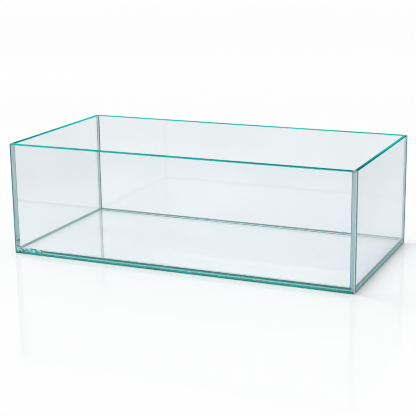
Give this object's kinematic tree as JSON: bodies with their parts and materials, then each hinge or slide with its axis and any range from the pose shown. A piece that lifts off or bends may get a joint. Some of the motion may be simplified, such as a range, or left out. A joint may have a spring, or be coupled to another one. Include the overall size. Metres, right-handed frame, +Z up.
{
  "type": "aquarium",
  "caption": "Open-topped rimless glass aquarium: clear panes with polished green edges, bonded edge to face with pale grey silicone; free-standing on the feet of its walls.",
  "frame": {"origin": "centre of the footprint, on the plane that the walls stand on", "axes": "+Z up, +X along the tank's length, the front pane faces -Y"},
  "size_m": [0.6, 0.3, 0.19],
  "materials": {
    "wall_glass": "clear float glass, polished faces and edges",
    "base_glass": "clear float glass, polished faces and edges",
    "silicone": "cured translucent grey sealant, satin, tooled by hand"
  },
  "bodies": {
    "root": {"front_pane": "wall_glass", "back_pane": "wall_glass", "left_pane": "wall_glass", "right_pane": "wall_glass", "base_pane": "base_glass", "front_base_seal": "silicone", "back_base_seal": "silicone", "left_base_seal": "silicone", "right_base_seal": "silicone", "front_left_corner_seal": "silicone", "front_right_corner_seal": "silicone", "back_left_corner_seal": "silicone", "back_right_corner_seal": "silicone"}
  },
  "joints": []
}
